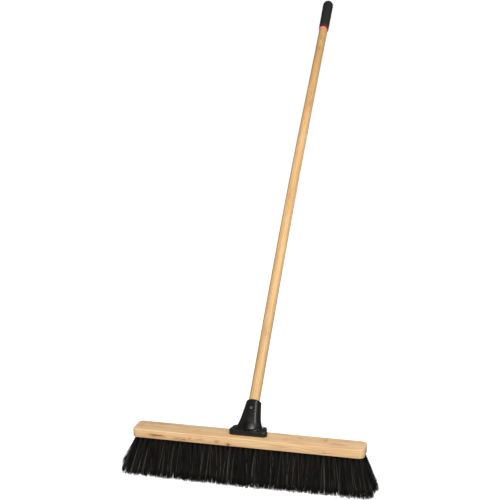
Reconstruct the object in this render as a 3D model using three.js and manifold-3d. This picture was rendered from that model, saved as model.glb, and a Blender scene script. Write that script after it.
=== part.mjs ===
// Wooden push broom: drilled hardwood block with five rows of flared bristle tufts,
// a moulded handle bracket screwed to the block, and a turned handle with a rubber grip.
// Millimetres. +Z up, X along the block, -Y is the front, the handle leans towards +Y.
// Origin: on the floor, under the middle of the block.
import * as THREE from "three";
import { mergeVertices } from "three/addons/utils/BufferGeometryUtils.js";
import Module from "manifold-3d";

const wasm = await Module();
wasm.setup();

// ---------------------------------------------------------------- shared dimensions
const BLOCK_THICK = 23;
const TRIM = 95; // bristle length below the block, 3-3/4 in
const BLOCK_BOTTOM = TRIM;
const BLOCK_TOP = TRIM + BLOCK_THICK;

const ROWS = 5;
const ROW_PITCH = 12;
const TUFT_PITCH = 13.4;
const TUFTS_LONG_ROW = 45; // rows 1, 3 and 5; rows 2 and 4 are staggered and hold one fewer

const HANDLE_LEAN = THREE.MathUtils.degToRad(45); // from vertical
const AXIS_Y = -4; // where the handle's axis meets the block's top
const HANDLE_R = 14.4;
const HANDLE_FOOT = 19; // along the axis, from the block's top

const PLATE_THICK = 14;
const PLATE_LIFT = 0.1; // gap between the block and the bracket's plate
const PLATE_SCREW_X = 40.2;
const PLATE_SCREW_Y = 12;
const PLATE_SCREW_BITE = 12; // depth of the screws in the block
const HANDLE_SCREW_AT = 69; // along the axis
const BOSS_OUT = 20.4; // outer face of the handle screw's boss, from the axis
const SCREW_SHANK_R = 2.1;
const SCREW_HOLE_R = 2.45;

const FIT = 0.3; // clearance between fitted pieces
const OVERCUT = 2; // how far a cutter runs past the face it opens
const SIDES = [["left", -1], ["right", 1]];

// ---------------------------------------------------------------- materials
const material = (color, { roughness, metalness = 0 }) =>
  new THREE.MeshStandardMaterial({ color, roughness, metalness });
const blockWood = () => material(0xe0b98a, { roughness: 0.55 });
const handleWood = () => material(0xdfae72, { roughness: 0.4 });
const bristle = () => material(0x1c1a16, { roughness: 0.6 });
const bracketPlastic = () => material(0x2b2a26, { roughness: 0.4 });
const steel = () => material(0x9a9c9e, { roughness: 0.35, metalness: 0.9 });
const redRing = () => material(0xb0161e, { roughness: 0.45 });
const gripRubber = () => material(0x2c2d2b, { roughness: 0.75 });

// ---------------------------------------------------------------- solids
// Welds a closed geometry into a Manifold, turning it right side out if need be.
function toSolid(geometry) {
  const bare = geometry.clone();
  bare.deleteAttribute("normal");
  bare.deleteAttribute("uv");
  const welded = mergeVertices(bare, 1e-4);
  const vertProperties = new Float32Array(welded.attributes.position.array);
  const triVerts = new Uint32Array(welded.index.array);
  const make = () => new wasm.Manifold(new wasm.Mesh({ numProp: 3, vertProperties, triVerts }));
  const solid = make();
  if (solid.volume() >= 0) return solid;
  for (let i = 0; i < triVerts.length; i += 3) {
    [triVerts[i + 1], triVerts[i + 2]] = [triVerts[i + 2], triVerts[i + 1]];
  }
  return make();
}

// Flat-shaded geometry of a Manifold.
function toGeometry(solid) {
  const { vertProperties, triVerts } = solid.getMesh();
  const indexed = new THREE.BufferGeometry();
  indexed.setAttribute("position", new THREE.BufferAttribute(vertProperties, 3));
  indexed.setIndex(new THREE.BufferAttribute(triVerts, 1));
  const geometry = indexed.toNonIndexed();
  geometry.computeVertexNormals();
  return geometry;
}

// A closed skin through rings of points, capped flat at both ends.
function loft(rings) {
  const count = rings[0].length;
  const points = rings.flat();
  const index = [];
  for (let r = 0; r + 1 < rings.length; r++) {
    for (let i = 0; i < count; i++) {
      const j = (i + 1) % count;
      const lower = r * count;
      const upper = lower + count;
      index.push(lower + i, lower + j, upper + j, lower + i, upper + j, upper + i);
    }
  }
  const cap = (ring, flip) => {
    const centre = new THREE.Vector3();
    rings[ring].forEach((point) => centre.add(point));
    centre.divideScalar(count);
    const hub = points.push(centre) - 1;
    for (let i = 0; i < count; i++) {
      const here = ring * count + i;
      const next = ring * count + ((i + 1) % count);
      index.push(hub, ...(flip ? [next, here] : [here, next]));
    }
  };
  cap(0, true);
  cap(rings.length - 1, false);
  const geometry = new THREE.BufferGeometry();
  const coordinates = points.flatMap(({ x, y, z }) => [x, y, z]);
  geometry.setAttribute("position", new THREE.Float32BufferAttribute(coordinates, 3));
  geometry.setIndex(index);
  return geometry;
}

// A profile of [radius, height] pairs turned about +Z.
function turned(profile, segments) {
  const points = profile.map(([radius, height]) => new THREE.Vector2(radius, height));
  return new THREE.LatheGeometry(points, segments).rotateX(Math.PI / 2);
}

// A cylinder parallel to Z, centred on x, y.
function rodAlongZ(radius, z0, z1, x, y, segments) {
  return new THREE.CylinderGeometry(radius, radius, z1 - z0, segments)
    .rotateX(Math.PI / 2)
    .translate(x, y, (z0 + z1) / 2);
}

// A cylinder parallel to Y at x = 0.
function rodAlongY(radius, y0, y1, z, segments) {
  return new THREE.CylinderGeometry(radius, radius, y1 - y0, segments)
    .translate(0, (y0 + y1) / 2, z);
}

// Pan head screw with a cross recess, head upwards along +Z; under the head is z = 0.
function panHeadScrew({ headR, headHeight, length }) {
  const pointLength = 2.2;
  const slotWidth = 0.9;
  const slotLength = headR * 1.15;
  const slotHeight = headHeight * 1.1; // centred on the top of the head
  const profile = [
    [0, -length],
    [SCREW_SHANK_R * 0.35, -length],
    [SCREW_SHANK_R, -length + pointLength],
    [SCREW_SHANK_R, -0.01],
    [headR, 0],
    [headR, headHeight * 0.45],
    [headR * 0.84, headHeight * 0.82],
    [headR * 0.5, headHeight],
    [0, headHeight],
  ];
  const slot = (sizeX, sizeY) =>
    toSolid(new THREE.BoxGeometry(sizeX, sizeY, slotHeight).translate(0, 0, headHeight));
  const cross = slot(slotLength, slotWidth).add(slot(slotWidth, slotLength));
  return toSolid(turned(profile, 18)).subtract(cross);
}

function add(parent, name, geometry, meshMaterial) {
  const mesh = new THREE.Mesh(geometry, meshMaterial);
  mesh.name = name;
  parent.add(mesh);
  return mesh;
}

// ---------------------------------------------------------------- tuft layout
const tuftCount = (row) => (row % 2 === 0 ? TUFTS_LONG_ROW : TUFTS_LONG_ROW - 1);
const tuftXs = (row) => {
  const count = tuftCount(row);
  return Array.from({ length: count }, (_, i) => (i - (count - 1) / 2) * TUFT_PITCH);
};
const rowY = (row) => (row - (ROWS - 1) / 2) * ROW_PITCH;

// ---------------------------------------------------------------- brush block
const BLOCK_LENGTH = 609.6; // 24 in
const BLOCK_WIDTH = 63.5; // 2-1/2 in
const BLOCK_CORNER_R = 14; // corners in plan
const BLOCK_EDGE_R = 3.5; // eased edges
const TUFT_HOLE_R = 3;
const TUFT_HOLE_DEPTH = 14;
const PILOT_SPARE = 0.6; // hole depth beyond a plate screw's point

function roundedPlan(halfX, halfY, r) {
  const shape = new THREE.Shape();
  shape.moveTo(-halfX + r, -halfY);
  shape.lineTo(halfX - r, -halfY);
  shape.absarc(halfX - r, -halfY + r, r, -Math.PI / 2, 0, false);
  shape.lineTo(halfX, halfY - r);
  shape.absarc(halfX - r, halfY - r, r, 0, Math.PI / 2, false);
  shape.lineTo(-halfX + r, halfY);
  shape.absarc(-halfX + r, halfY - r, r, Math.PI / 2, Math.PI, false);
  shape.lineTo(-halfX, -halfY + r);
  shape.absarc(-halfX + r, -halfY + r, r, Math.PI, Math.PI * 1.5, false);
  return shape;
}

function brushBlock() {
  // The bevel grows the plan outwards by the edge radius.
  const plan = roundedPlan(
    BLOCK_LENGTH / 2 - BLOCK_EDGE_R,
    BLOCK_WIDTH / 2 - BLOCK_EDGE_R,
    BLOCK_CORNER_R - BLOCK_EDGE_R,
  );
  const body = new THREE.ExtrudeGeometry(plan, {
    depth: BLOCK_THICK - 2 * BLOCK_EDGE_R,
    bevelEnabled: true,
    bevelSize: BLOCK_EDGE_R,
    bevelThickness: BLOCK_EDGE_R,
    bevelSegments: 3,
    curveSegments: 6,
  }).translate(0, 0, BLOCK_BOTTOM + BLOCK_EDGE_R);

  const drills = [];
  const drill = (...rod) => drills.push(toSolid(rodAlongZ(...rod)));
  const tuftHoleTop = BLOCK_BOTTOM + TUFT_HOLE_DEPTH;
  for (let row = 0; row < ROWS; row++) {
    for (const x of tuftXs(row)) {
      drill(TUFT_HOLE_R, BLOCK_BOTTOM - OVERCUT, tuftHoleTop, x, rowY(row), 6);
    }
  }
  const pilotEnd = BLOCK_TOP - PLATE_SCREW_BITE - PILOT_SPARE;
  for (const [, side] of SIDES) {
    drill(SCREW_HOLE_R, pilotEnd, BLOCK_TOP + OVERCUT, side * PLATE_SCREW_X, PLATE_SCREW_Y, 10);
  }
  return toSolid(body).subtract(wasm.Manifold.union(drills));
}

// ---------------------------------------------------------------- bristle rows
// Each row is a comb of tufts standing under its own row of holes, in three banks:
// a middle and two ends whose tufts fan outwards.
const ROOT_CLEAR = 1.3; // gap between the roots and the block
const ROOT_HALF = 3; // half thickness of a row at its roots
const TIP_HALF = 9.5; // half thickness of a row at its tips
const NOTCH_Z = 40; // height at which neighbouring tufts run together
const FORE_AFT_FLARE = 0.8; // tips stand this much further out than roots, as a share
const END_FLARE_START = 150; // distance from the middle where the sideways flare begins
const END_FLARE = [28, 45, 45, 45, 28]; // sideways flare at the end of each row's tips
const END_FLARE_POWER = 1.5;
const FLARE_LIFT = 0.8; // share of the height lost by splaying that the tips rise
const BANK_TUFTS = 10; // tufts in the flared bank at each end of a row
const BANK_GAP = 0.3;

// Sideways shift of the tips, as a function of x on the unflared row.
function sidewaysFlare(row) {
  const span = tuftXs(row).at(-1) + ROOT_HALF - END_FLARE_START;
  return (x) => {
    const beyond = Math.max(0, Math.abs(x) - END_FLARE_START);
    return Math.sign(x) * END_FLARE[row] * (beyond / span) ** END_FLARE_POWER;
  };
}

// Outline of an unflared bank: x along the row, y upwards from the floor.
function combShape(xs, isEnd) {
  const half = TUFT_PITCH / 2;
  const rootZ = TRIM - ROOT_CLEAR;
  const left = xs[0] - half + BANK_GAP / 2;
  const right = xs.at(-1) + half - BANK_GAP / 2;
  const shape = new THREE.Shape();
  shape.moveTo(left, 0);
  shape.lineTo(left, NOTCH_Z);
  xs.forEach((x, i) => {
    shape.lineTo(x - ROOT_HALF, rootZ);
    shape.lineTo(x + ROOT_HALF, rootZ);
    if (i + 1 < xs.length) shape.lineTo(x + half, NOTCH_Z);
  });
  shape.lineTo(right, NOTCH_Z);
  shape.lineTo(right, 0);
  // Extra points under every other tuft let the tips of an end bank follow the flare.
  if (isEnd) {
    for (let i = xs.length - 2; i > 0; i -= 2) shape.lineTo(xs[i], 0);
  }
  return shape;
}

function bristleBank(row, from, to, isEnd) {
  const flare = sidewaysFlare(row);
  const lift = (x) => FLARE_LIFT * TRIM * (1 - Math.cos(Math.atan(flare(x) / TRIM)));
  const geometry = new THREE.ExtrudeGeometry(combShape(tuftXs(row).slice(from, to), isEnd), {
    depth: 1,
    bevelEnabled: false,
    steps: 1,
    curveSegments: 1,
  });
  // Stand the flat comb upright, thicken it and flare it towards the tips.
  const position = geometry.attributes.position;
  for (let i = 0; i < position.count; i++) {
    const x = position.getX(i);
    const z = position.getY(i);
    const side = 1 - 2 * position.getZ(i); // +1 on the back face, -1 on the front
    const drop = (TRIM - z) / TRIM; // 0 at the block, 1 at the tips
    const halfThick = ROOT_HALF + (TIP_HALF - ROOT_HALF) * drop;
    position.setXYZ(
      i,
      x + flare(x) * drop,
      rowY(row) * (1 + FORE_AFT_FLARE * drop) + side * halfThick,
      z + lift(x) * drop,
    );
  }
  return toSolid(geometry);
}

function addBristleRow(parent, row) {
  const count = tuftCount(row);
  // Name, first tuft, tuft after the last, whether it is an end bank
  const banks = [
    ["left", 0, BANK_TUFTS, true],
    ["middle", BANK_TUFTS, count - BANK_TUFTS, false],
    ["right", count - BANK_TUFTS, count, true],
  ];
  for (const [name, from, to, isEnd] of banks) {
    const bank = toGeometry(bristleBank(row, from, to, isEnd));
    add(parent, `tufts_row${row + 1}_${name}`, bank, bristle());
  }
}

// ---------------------------------------------------------------- handle frame
// In this frame +Z runs up the handle and -Y faces forwards and up.
const handleFrame = new THREE.Group();
handleFrame.position.set(0, AXIS_Y, BLOCK_TOP);
handleFrame.rotation.x = -HANDLE_LEAN;
handleFrame.updateMatrixWorld(true);

const tiltedSolid = (geometry) => toSolid(geometry.applyMatrix4(handleFrame.matrixWorld));

// ---------------------------------------------------------------- handle bracket
const SOCKET_TOP = 94; // along the axis
const BOSS_R = 6.3;
const BOSS_IN = 16.5; // inner end of the boss, buried in the socket wall
const HEAD_SEAT_R = 5; // spot face that clears a plate screw's head
const HEAD_SEAT_HEIGHT = 12;
const PLATE_FRONT = -10;
const PLATE_BACK = 31;
const PLATE_HALF_FRONT = 50.2; // half width at the front edge
const PLATE_HALF_BACK = 46.5; // half width at the back edge
const PLATE_EDGE = 3.2; // eased upper edge
const PLATE_CORNER = 6;
const PLATE_SPARE = 6; // extra depth below the plate, cut off to leave a sharp lower edge
const PLATE_BOTTOM = BLOCK_TOP + PLATE_LIFT;
const PLATE_TOP = PLATE_BOTTOM + PLATE_THICK;

// A tower section square to the handle's axis.
function axisSection(along, halfDepth, halfWidth) {
  const cos = Math.cos(HANDLE_LEAN);
  const sin = Math.sin(HANDLE_LEAN);
  const y = AXIS_Y + along * sin;
  const z = along * cos;
  const stepY = halfDepth * cos;
  const stepZ = halfDepth * sin;
  return [y - stepY, z + stepZ, y + stepY, z - stepZ, halfWidth];
}

// Sections of the tower, from inside the plate to the rim:
// [front y, front z, back y, back z, half width]. Heights are above the plate's underside.
const TOWER = [
  [-8.4, 6, 29.5, 6, 38],
  [-8.4, 14.5, 35.5, 14.5, 37],
  [-7.6, 18.2, 37.2, 15.8, 34],
  [-6.6, 22.5, 39.2, 17.6, 31.7],
  [-3.8, 28.3, 41.8, 20, 29.3],
  [2.5, 35, 44.8, 22.6, 27.2],
  [11.8, 44.4, 48.6, 26.2, 25],
  axisSection(62, 19.8, 22.8),
  axisSection(78, 19, 20.2),
  axisSection(90, 18.5, 18.9),
  axisSection(93, 18.1, 18.3),
  axisSection(SOCKET_TOP, 17.1, 17.2),
];

function tower() {
  const rings = TOWER.map(([frontY, frontZ, backY, backZ, halfWidth]) =>
    Array.from({ length: 32 }, (_, i) => {
      const angle = (i / 32) * Math.PI * 2;
      const share = (1 + Math.sin(angle)) / 2; // 0 at the front, 1 at the back
      return new THREE.Vector3(
        halfWidth * Math.cos(angle),
        frontY + (backY - frontY) * share,
        PLATE_BOTTOM + frontZ + (backZ - frontZ) * share,
      );
    }),
  );
  return toSolid(loft(rings));
}

// Plan of the plate, inside its eased edge: narrower at the back, with rounded corners.
function platePlan() {
  const front = PLATE_FRONT + PLATE_EDGE;
  const back = PLATE_BACK - PLATE_EDGE;
  const halfFront = PLATE_HALF_FRONT - PLATE_EDGE;
  const halfBack = PLATE_HALF_BACK - PLATE_EDGE;
  const r = PLATE_CORNER;
  const cornerShare = r / (back - front);
  const sideAt = (share) => halfFront + (halfBack - halfFront) * share;
  const nearFront = sideAt(cornerShare);
  const nearBack = sideAt(1 - cornerShare);
  const shape = new THREE.Shape();
  shape.moveTo(-halfFront + r, front);
  shape.lineTo(halfFront - r, front);
  shape.quadraticCurveTo(halfFront, front, nearFront, front + r);
  shape.lineTo(nearBack, back - r);
  shape.quadraticCurveTo(halfBack, back, halfBack - r, back);
  shape.lineTo(-halfBack + r, back);
  shape.quadraticCurveTo(-halfBack, back, -nearBack, back - r);
  shape.lineTo(-nearFront, front + r);
  shape.quadraticCurveTo(-halfFront, front, -halfFront + r, front);
  return shape;
}

function plate() {
  const body = new THREE.ExtrudeGeometry(platePlan(), {
    depth: PLATE_THICK - PLATE_EDGE + PLATE_SPARE,
    bevelEnabled: true,
    bevelSize: PLATE_EDGE,
    bevelThickness: PLATE_EDGE,
    bevelSegments: 3,
    curveSegments: 5,
  }).translate(0, 0, PLATE_BOTTOM - PLATE_SPARE);
  const cutSide = 140; // wider than the plate
  const cutDepth = 20; // deeper than the spare
  const below = new THREE.BoxGeometry(cutSide, cutSide, cutDepth)
    .translate(0, 0, PLATE_BOTTOM - cutDepth / 2);
  return toSolid(body).subtract(toSolid(below));
}

function handleBracket() {
  const boss = rodAlongY(BOSS_R, -BOSS_OUT, -BOSS_IN, HANDLE_SCREW_AT, 20);
  const socket = rodAlongZ(HANDLE_R + FIT, HANDLE_FOOT - FIT, SOCKET_TOP + OVERCUT, 0, 0, 32);
  const bossHole = rodAlongY(
    SCREW_HOLE_R, -BOSS_OUT - OVERCUT, -HANDLE_R + OVERCUT, HANDLE_SCREW_AT, 12,
  );
  let bracket = plate()
    .add(tower())
    .add(tiltedSolid(boss))
    .subtract(tiltedSolid(socket))
    .subtract(tiltedSolid(bossHole));
  for (const [, side] of SIDES) {
    const at = [side * PLATE_SCREW_X, PLATE_SCREW_Y];
    const hole = rodAlongZ(SCREW_HOLE_R, BLOCK_TOP - OVERCUT, PLATE_TOP + OVERCUT, ...at, 12);
    const seat = rodAlongZ(HEAD_SEAT_R, PLATE_TOP, PLATE_TOP + HEAD_SEAT_HEIGHT, ...at, 20);
    bracket = bracket.subtract(toSolid(hole)).subtract(toSolid(seat));
  }
  return bracket;
}

// ---------------------------------------------------------------- screws
function addPlateScrew(parent, name, side) {
  const solid = panHeadScrew({
    headR: 4.2,
    headHeight: 2.9,
    length: PLATE_THICK + PLATE_LIFT + FIT + PLATE_SCREW_BITE,
  });
  const screw = add(parent, `bracket_screw_${name}`, toGeometry(solid), steel());
  screw.position.set(side * PLATE_SCREW_X, PLATE_SCREW_Y, PLATE_TOP + FIT);
}

// The shank stops just short of the handle.
function addHandleScrew(parent) {
  const headUnder = BOSS_OUT + FIT;
  const solid = panHeadScrew({
    headR: 4.9,
    headHeight: 3.2,
    length: headUnder - (HANDLE_R + FIT),
  });
  const screw = add(parent, "handle_screw", toGeometry(solid), steel());
  screw.position.set(0, -headUnder, HANDLE_SCREW_AT);
  screw.rotation.x = Math.PI / 2;
}

// ---------------------------------------------------------------- handle, ring and grip
const HANDLE_TOP_R = 13.5;
const HANDLE_LENGTH = 1524; // 60 in
const HANDLE_TOP = HANDLE_FOOT + HANDLE_LENGTH;
const TAPER_FROM = 900;
const TAPER_TO = 1250;
const FOOT_CHAMFER = 1.2;
const TOP_CHAMFER = 1.5;
const HANDLE_PILOT_R = 1.6;
const HANDLE_PILOT_DEPTH = 12;
const GRIP_FROM = 1439;
const RING_FROM = 1424;
const RING_TO = GRIP_FROM - FIT;
const GRIP_BORE_R = HANDLE_TOP_R + FIT;

// Profiles are [radius, distance along the axis].
const HANDLE_PROFILE = [
  [0, HANDLE_FOOT],
  [HANDLE_R - FOOT_CHAMFER, HANDLE_FOOT],
  [HANDLE_R, HANDLE_FOOT + FOOT_CHAMFER],
  [HANDLE_R, TAPER_FROM],
  [(HANDLE_R + HANDLE_TOP_R) / 2 + 0.1, (TAPER_FROM + TAPER_TO) / 2], // slightly full
  [HANDLE_TOP_R, TAPER_TO],
  [HANDLE_TOP_R, HANDLE_TOP - TOP_CHAMFER],
  [HANDLE_TOP_R - TOP_CHAMFER, HANDLE_TOP],
  [0, HANDLE_TOP],
];
const RING_PROFILE = [
  [GRIP_BORE_R, RING_FROM], [14.9, RING_FROM], [15.6, RING_FROM + 1],
  [15.7, RING_TO - 0.6], [15.5, RING_TO], [GRIP_BORE_R, RING_TO], [GRIP_BORE_R, RING_FROM],
];
const GRIP_PROFILE = [
  [GRIP_BORE_R, GRIP_FROM], [15.7, GRIP_FROM], [16.1, GRIP_FROM + 2],
  [16.3, 1480], [16.6, 1510], [16.6, 1531], [15.9, 1539],
  [14, 1544.6], [10.6, 1548.6], [5.6, 1550.6], [0, 1551],
  [0, HANDLE_TOP + FIT], [GRIP_BORE_R, HANDLE_TOP + FIT], [GRIP_BORE_R, GRIP_FROM],
];

function handle() {
  const pilot = rodAlongY(
    HANDLE_PILOT_R, -HANDLE_R - OVERCUT, -HANDLE_R + HANDLE_PILOT_DEPTH, HANDLE_SCREW_AT, 8,
  );
  return toSolid(turned(HANDLE_PROFILE, 32)).subtract(toSolid(pilot));
}

// ---------------------------------------------------------------- assembly
const broom = new THREE.Group();
add(broom, "brush_block", toGeometry(brushBlock()), blockWood());
for (let row = 0; row < ROWS; row++) addBristleRow(broom, row);
broom.add(handleFrame);
add(broom, "handle_bracket", toGeometry(handleBracket()), bracketPlastic());
for (const [name, side] of SIDES) addPlateScrew(broom, name, side);
add(handleFrame, "handle", toGeometry(handle()), handleWood());
addHandleScrew(handleFrame);
add(handleFrame, "grip_ring", turned(RING_PROFILE, 32), redRing());
add(handleFrame, "handle_grip", turned(GRIP_PROFILE, 32), gripRubber());

export default broom;
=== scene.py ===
"""A push broom, in metres.

The block runs along X, with its front towards -Y, on five rows of bristles that reach down
to the floor at z = 0. A bracket on the block's top holds the handle, which leans back
towards +Y at 45 degrees and ends in a red ring and a rubber grip.
"""
import math

import bmesh
import bpy
import numpy as np
from mathutils import Matrix, Vector


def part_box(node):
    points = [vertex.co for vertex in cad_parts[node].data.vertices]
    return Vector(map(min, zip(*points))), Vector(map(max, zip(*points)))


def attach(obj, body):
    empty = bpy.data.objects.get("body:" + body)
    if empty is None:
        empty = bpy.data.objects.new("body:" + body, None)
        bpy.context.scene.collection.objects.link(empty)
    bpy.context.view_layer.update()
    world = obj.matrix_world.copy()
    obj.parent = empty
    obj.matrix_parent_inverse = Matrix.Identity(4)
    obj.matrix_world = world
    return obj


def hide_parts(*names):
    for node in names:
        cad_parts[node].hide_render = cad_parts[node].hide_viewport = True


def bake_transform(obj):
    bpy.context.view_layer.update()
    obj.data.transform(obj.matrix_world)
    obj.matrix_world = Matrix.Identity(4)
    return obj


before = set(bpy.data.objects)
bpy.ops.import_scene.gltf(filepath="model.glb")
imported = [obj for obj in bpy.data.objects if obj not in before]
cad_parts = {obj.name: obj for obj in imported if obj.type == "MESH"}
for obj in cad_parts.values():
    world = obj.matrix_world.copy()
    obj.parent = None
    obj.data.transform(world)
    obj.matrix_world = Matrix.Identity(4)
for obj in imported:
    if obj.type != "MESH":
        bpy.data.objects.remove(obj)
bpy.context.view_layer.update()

MM = 0.001
TURN = 2 * math.pi
rng = np.random.default_rng(20417)

# ------------------------------------------------------------------ driving dimensions
BLOCK_LO, BLOCK_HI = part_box("brush_block")
BOTTOM, TOP = BLOCK_LO.z, BLOCK_HI.z
HALF_X, HALF_Y = BLOCK_HI.x, BLOCK_HI.y

# the handle's axis starts on the block's top, and is local Z of everything on the handle
AXIS_Y = -0.004
LEAN = math.radians(45)
TILT = Matrix.Translation((0, AXIS_Y, TOP)) @ Matrix.Rotation(-LEAN, 4, "X")

ROWS = 5
ROW_PITCH = 0.012
TUFT_PITCH = 0.0134

# bracket plate and its two screws
PLATE_Z = TOP + 0.0001
PLATE_HEIGHT = 0.014
PLATE_TOP = PLATE_Z + PLATE_HEIGHT
PLATE_SCREW_X, PLATE_SCREW_Y = 0.0402, 0.012

# the handle screw crosses the axis; its local Z points out of the front of the socket
SCREW_ALONG = 0.069
SCREW_ON_AXIS = Matrix.Translation((0, 0, SCREW_ALONG)) @ Matrix.Rotation(math.radians(90), 4, "X")
SCREW_PLACE = TILT @ SCREW_ON_AXIS

# distances along the handle's axis
HANDLE_START, HANDLE_END = 0.019, 1.543
RING_FOOT = 1.424
SLEEVE_BORE = 0.0138


def row_y(row):
    return (row - ROWS // 2) * ROW_PITCH


def row_tufts(row):
    """X of each tuft in a row; every other row is a tuft shorter, so the rows are staggered."""
    count = 45 if row % 2 == 0 else 44
    return (np.arange(count) - (count - 1) / 2) * TUFT_PITCH


# ------------------------------------------------------------------ mesh helpers
def new_object(name, verts, faces):
    mesh = bpy.data.meshes.new(name)
    mesh.from_pydata([tuple(map(float, v)) for v in verts], [], faces)
    mesh.validate()
    bm = bmesh.new()
    bm.from_mesh(mesh)
    bmesh.ops.recalc_face_normals(bm, faces=bm.faces)
    bm.to_mesh(mesh)
    bm.free()
    obj = bpy.data.objects.new(name, mesh)
    bpy.context.scene.collection.objects.link(obj)
    return obj


def soften(obj, sharp):
    """Smooth shading, with edges over `sharp` degrees left sharp."""
    mesh = obj.data
    mesh.polygons.foreach_set("use_smooth", [True] * len(mesh.polygons))
    mesh.set_sharp_from_angle(angle=math.radians(sharp))
    mesh.update()


def circle(radius, z, segments, at=(0, 0)):
    angles = [TURN * i / segments for i in range(segments)]
    return [(at[0] + radius * math.cos(a), at[1] + radius * math.sin(a), z) for a in angles]


def loft(rings):
    """Vertices and faces of a capped skin through closed rings of the same length."""
    n = len(rings[0])
    verts = [point for ring in rings for point in ring]
    faces = []
    for k in range(len(rings) - 1):
        for i in range(n):
            j = (i + 1) % n
            faces.append((k * n + i, k * n + j, (k + 1) * n + j, (k + 1) * n + i))
    faces.append(tuple(reversed(range(n))))
    faces.append(tuple(range((len(rings) - 1) * n, len(rings) * n)))
    return verts, faces


def joined(skins):
    """Several skins as one list of vertices and one of faces."""
    verts, faces = [], []
    for skin_verts, skin_faces in skins:
        faces += [tuple(len(verts) + i for i in face) for face in skin_faces]
        verts += skin_verts
    return verts, faces


def turned(profile, segments=64, closed=False):
    """A (radius, height) profile turned about local Z. Ends on the axis unless closed."""
    verts, levels = [], []
    for radius, height in profile:
        level = [(0, 0, height)] if radius < 1e-7 else circle(radius, height, segments)
        levels.append(range(len(verts), len(verts) + len(level)))
        verts += level
    faces = []
    for a, b in list(zip(levels, levels[1:])) + ([(levels[-1], levels[0])] if closed else []):
        if len(a) == 1 and len(b) == 1:
            continue
        for i in range(segments):
            j = (i + 1) % segments
            if len(a) == 1:
                faces.append((a[0], b[j], b[i]))
            elif len(b) == 1:
                faces.append((a[i], a[j], b[0]))
            else:
                faces.append((a[i], a[j], b[j], b[i]))
    return verts, faces


def rounded(points, radius, steps):
    """A closed profile with every corner but the first rounded."""
    out = [points[0]]
    for before, corner, after in zip(points, points[1:], points[2:] + points[:1]):
        corner = Vector(corner)
        back, on = Vector(before) - corner, Vector(after) - corner
        reach = min(radius, back.length * 0.45, on.length * 0.45)
        start = corner + back.normalized() * reach
        end = corner + on.normalized() * reach
        for k in range(steps + 1):
            t = k / steps
            out.append(tuple((1 - t) ** 2 * start + 2 * t * (1 - t) * corner + t * t * end))
    return out


def cut(target, tools, operation="DIFFERENCE"):
    """Boolean target with each tool, apply it, and remove the tool."""
    for tool in tools:
        modifier = target.modifiers.new("cut", "BOOLEAN")
        modifier.operation = operation
        modifier.solver = "MANIFOLD"
        modifier.object = tool
        graph = bpy.context.evaluated_depsgraph_get()
        mesh = bpy.data.meshes.new_from_object(target.evaluated_get(graph), depsgraph=graph)
        target.modifiers.remove(modifier)
        old = target.data
        target.data = mesh
        bpy.data.meshes.remove(old)
        bpy.data.objects.remove(tool)


def cylinder(radius, bottom, top, segments, at=(0, 0), matrix=Matrix()):
    ends = [circle(radius, z, segments, at) for z in (bottom, top)]
    obj = new_object("tool", *loft(ends))
    obj.data.transform(matrix)
    return obj


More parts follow.
